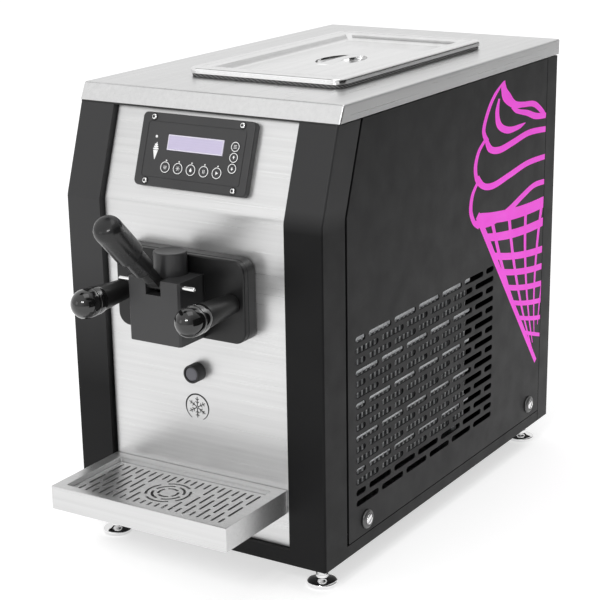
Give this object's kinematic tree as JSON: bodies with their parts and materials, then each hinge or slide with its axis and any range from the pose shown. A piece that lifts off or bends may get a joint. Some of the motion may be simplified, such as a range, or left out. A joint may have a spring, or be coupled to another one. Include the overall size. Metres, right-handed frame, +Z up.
{
  "type": "soft serve machine",
  "caption": "Countertop soft serve freezer with a stainless front and top, black painted sides, a draw lever on a black dispensing head, a drip tray, a lift-off hopper lid and a keypad.",
  "frame": {"origin": "on the table, under the middle of the outer box that holds the machine, its drip tray and its raised lever", "axes": "+X to the right of someone looking at the machine's back from the front, that is along +Y; +Y from the dispensing head towards the rear panel; +Z up"},
  "size_m": [0.296, 0.6304, 0.4726],
  "materials": {
    "black_powder_coat": "fine texture powder coat",
    "brushed_stainless": "brushed",
    "polished_stainless": "polished",
    "galvanised_sheet": "galvanised",
    "dark_grey_plastic": "satin",
    "black_acetal": "satin, machined and moulded",
    "gloss_black_plastic": "gloss",
    "black_silicone": "matt",
    "display_lavender": "clear window over a lavender display",
    "aluminium_fins": "plain",
    "motor_grey": "semi-gloss enamel",
    "white_food_plastic": "natural"
  },
  "bodies": {
    "machine": {"base_pan": "black_powder_coat", "front_frame": "black_powder_coat", "side_panel_right": "black_powder_coat", "side_panel_left": "black_powder_coat", "cup_washer_right_front": "black_powder_coat", "cup_washer_right_rear": "black_powder_coat", "cup_washer_left_front": "black_powder_coat", "cup_washer_left_rear": "black_powder_coat", "rear_panel": "black_powder_coat", "front_panel": "brushed_stainless", "top_cover": "brushed_stainless", "panel_screw_right_front": "polished_stainless", "panel_screw_right_rear": "polished_stainless", "panel_screw_left_front": "polished_stainless", "panel_screw_left_rear": "polished_stainless", "hopper": "polished_stainless", "plate_screw_1": "polished_stainless", "plate_screw_2": "polished_stainless", "plate_screw_3": "polished_stainless", "plate_screw_4": "polished_stainless", "pivot_pin": "polished_stainless", "head_stud_left": "polished_stainless", "head_stud_right": "polished_stainless", "freezing_cylinder": "polished_stainless", "fan_shroud": "galvanised_sheet", "control_plate": "dark_grey_plastic", "dispensing_head": "black_acetal", "power_inlet": "gloss_black_plastic", "head_seal": "black_silicone", "display_window": "display_lavender", "condenser": "aluminium_fins", "fan_motor": "motor_grey", "compressor": "motor_grey", "gear_motor": "motor_grey"},
    "lever": {"lever_arm": "black_acetal", "lever_grip": "black_acetal"},
    "plunger": {"draw_plunger": "black_acetal"},
    "lid": {"hopper_lid": "polished_stainless", "lid_gasket": "black_silicone"},
    "tray": {"drip_tray": "brushed_stainless"},
    "grid": {"drip_grid": "brushed_stainless"},
    "drain": {"drain_tube": "black_silicone"},
    "nut_left": {"head_nut_left": "gloss_black_plastic"},
    "nut_right": {"head_nut_right": "gloss_black_plastic"},
    "beater_rotor": {"beater": "white_food_plastic"},
    "fan_rotor": {"condenser_fan": "dark_grey_plastic"},
    "rocker": {"switch_rocker": "gloss_black_plastic"},
    "feed": {"feed_tube": "white_food_plastic"},
    "foot_fl": {"foot_fl": "polished_stainless"},
    "foot_fr": {"foot_fr": "polished_stainless"},
    "foot_rl": {"foot_rl": "polished_stainless"},
    "foot_rr": {"foot_rr": "polished_stainless"},
    "key_row_1": {"key_row_1": "dark_grey_plastic"},
    "key_row_2": {"key_row_2": "dark_grey_plastic"},
    "key_row_3": {"key_row_3": "dark_grey_plastic"},
    "key_row_4": {"key_row_4": "dark_grey_plastic"},
    "key_row_5": {"key_row_5": "dark_grey_plastic"},
    "key_side_1": {"key_side_1": "dark_grey_plastic"},
    "key_side_2": {"key_side_2": "dark_grey_plastic"},
    "key_side_3": {"key_side_3": "dark_grey_plastic"}
  },
  "joints": [
    {"name": "lever_hinge", "type": "hinge", "parent": "machine", "child": "lever", "pos_m": [-0.0035, -0.23676, 0.3015], "axis": [1, 0, 0], "range_deg": [0, 50]},
    {"name": "plunger_slide", "type": "slide", "parent": "machine", "child": "plunger", "axis": [0, 0, 1], "range_m": [0, 0.012]},
    {"name": "lid_lift", "type": "slide", "parent": "machine", "child": "lid", "axis": [0, 0, 1], "range_m": [0, 0.1]},
    {"name": "tray_unhook", "type": "slide", "parent": "machine", "child": "tray", "axis": [0, 0, 1], "range_m": [0, 0.0104]},
    {"name": "grid_lift", "type": "slide", "parent": "tray", "child": "grid", "axis": [0, 0, 1], "range_m": [0, 0.08]},
    {"name": "drain_pull", "type": "slide", "parent": "machine", "child": "drain", "axis": [0, -1, 0], "range_m": [0, 0.06]},
    {"name": "feed_tube_lift", "type": "slide", "parent": "machine", "child": "feed", "axis": [0, 0, 1], "range_m": [0, 0.008]},
    {"name": "nut_left_turn", "type": "hinge", "parent": "machine", "child": "nut_left", "pos_m": [-0.062, -0.22876, 0.282], "axis": [0, -1, 0], "continuous": true},
    {"name": "nut_right_turn", "type": "hinge", "parent": "machine", "child": "nut_right", "pos_m": [0.055, -0.22876, 0.282], "axis": [0, -1, 0], "continuous": true},
    {"name": "beater_turn", "type": "hinge", "parent": "machine", "child": "beater_rotor", "pos_m": [-0.0035, -0.06876, 0.283], "axis": [0, 1, 0], "continuous": true},
    {"name": "fan_turn", "type": "hinge", "parent": "machine", "child": "fan_rotor", "pos_m": [0.097, -0.01076, 0.162], "axis": [1, 0, 0], "continuous": true},
    {"name": "switch_rock", "type": "hinge", "parent": "machine", "child": "rocker", "pos_m": [-0.057, 0.30524, 0.085], "axis": [1, 0, 0], "range_deg": [-8, 0]},
    {"name": "foot_fl_turn", "type": "hinge", "parent": "machine", "child": "foot_fl", "pos_m": [-0.124, -0.16276, 0], "axis": [0, 0, 1], "continuous": true},
    {"name": "foot_fr_turn", "type": "hinge", "parent": "machine", "child": "foot_fr", "pos_m": [0.124, -0.16276, 0], "axis": [0, 0, 1], "continuous": true},
    {"name": "foot_rl_turn", "type": "hinge", "parent": "machine", "child": "foot_rl", "pos_m": [-0.124, 0.28524, 0], "axis": [0, 0, 1], "continuous": true},
    {"name": "foot_rr_turn", "type": "hinge", "parent": "machine", "child": "foot_rr", "pos_m": [0.124, 0.28524, 0], "axis": [0, 0, 1], "continuous": true},
    {"name": "key_row_1_press", "type": "slide", "parent": "machine", "child": "key_row_1", "axis": [0, 0.9454, -0.326], "range_m": [0, 0.0005], "stiffness_N_per_m": 600},
    {"name": "key_row_2_press", "type": "slide", "parent": "machine", "child": "key_row_2", "axis": [0, 0.9454, -0.326], "range_m": [0, 0.0005], "stiffness_N_per_m": 600},
    {"name": "key_row_3_press", "type": "slide", "parent": "machine", "child": "key_row_3", "axis": [0, 0.9454, -0.326], "range_m": [0, 0.0005], "stiffness_N_per_m": 600},
    {"name": "key_row_4_press", "type": "slide", "parent": "machine", "child": "key_row_4", "axis": [0, 0.9454, -0.326], "range_m": [0, 0.0005], "stiffness_N_per_m": 600},
    {"name": "key_row_5_press", "type": "slide", "parent": "machine", "child": "key_row_5", "axis": [0, 0.9454, -0.326], "range_m": [0, 0.0005], "stiffness_N_per_m": 600},
    {"name": "key_side_1_press", "type": "slide", "parent": "machine", "child": "key_side_1", "axis": [0, 0.9454, -0.326], "range_m": [0, 0.0005], "stiffness_N_per_m": 600},
    {"name": "key_side_2_press", "type": "slide", "parent": "machine", "child": "key_side_2", "axis": [0, 0.9454, -0.326], "range_m": [0, 0.0005], "stiffness_N_per_m": 600},
    {"name": "key_side_3_press", "type": "slide", "parent": "machine", "child": "key_side_3", "axis": [0, 0.9454, -0.326], "range_m": [0, 0.0005], "stiffness_N_per_m": 600}
  ],
  "couplings": [
    {"joint": "plunger_slide", "follows": "lever_hinge", "m_per_rad": 0.0135}
  ]
}
